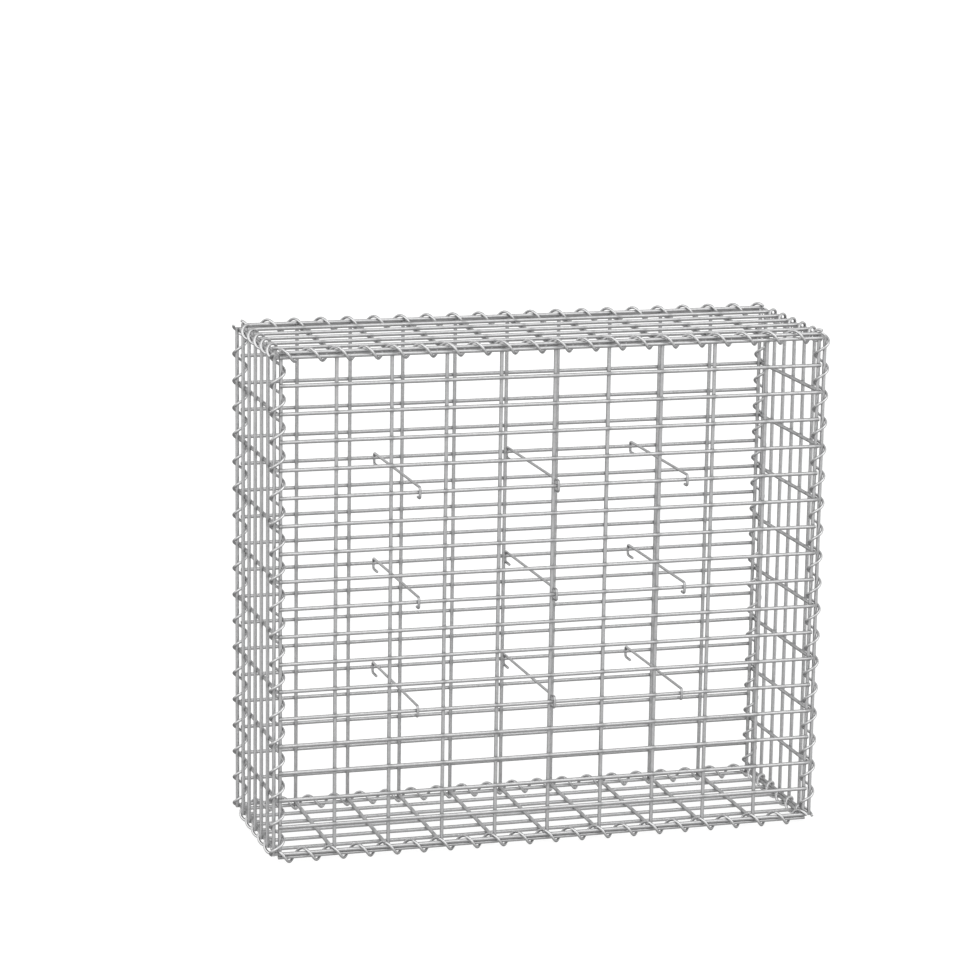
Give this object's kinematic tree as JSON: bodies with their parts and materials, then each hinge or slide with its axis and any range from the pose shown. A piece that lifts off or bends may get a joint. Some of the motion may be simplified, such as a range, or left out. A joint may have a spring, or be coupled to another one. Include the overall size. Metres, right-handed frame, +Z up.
{
  "type": "welded mesh gabion basket",
  "caption": "Empty gabion basket of galvanised welded wire mesh, with a lid, edges laced by wire spirals and hooked tie wires inside; filled with stones and stacked as a wall.",
  "frame": {"origin": "on the ground, under the middle of the basket", "axes": "+Z up, +X along the width to the right seen from the front, -Y towards the front"},
  "size_m": [1.0422, 0.3336, 0.9359],
  "materials": {
    "mesh_wire": "galvanised, satin",
    "spiral_wire": "galvanised, bright",
    "tie_wire": "galvanised, satin"
  },
  "bodies": {
    "root": {"front_panel": "mesh_wire", "back_panel": "mesh_wire", "left_panel": "mesh_wire", "right_panel": "mesh_wire", "lid_panel": "mesh_wire", "bottom_panel": "mesh_wire", "spiral_front_top": "spiral_wire", "spiral_front_bottom": "spiral_wire", "spiral_back_top": "spiral_wire", "spiral_back_bottom": "spiral_wire", "spiral_left_top": "spiral_wire", "spiral_left_bottom": "spiral_wire", "spiral_right_top": "spiral_wire", "spiral_right_bottom": "spiral_wire", "spiral_front_left": "spiral_wire", "spiral_front_right": "spiral_wire", "spiral_back_left": "spiral_wire", "spiral_back_right": "spiral_wire", "tie_lower_left": "tie_wire", "tie_lower_middle": "tie_wire", "tie_lower_right": "tie_wire", "tie_middle_left": "tie_wire", "tie_middle_middle": "tie_wire", "tie_middle_right": "tie_wire", "tie_upper_left": "tie_wire", "tie_upper_middle": "tie_wire", "tie_upper_right": "tie_wire"}
  },
  "joints": []
}
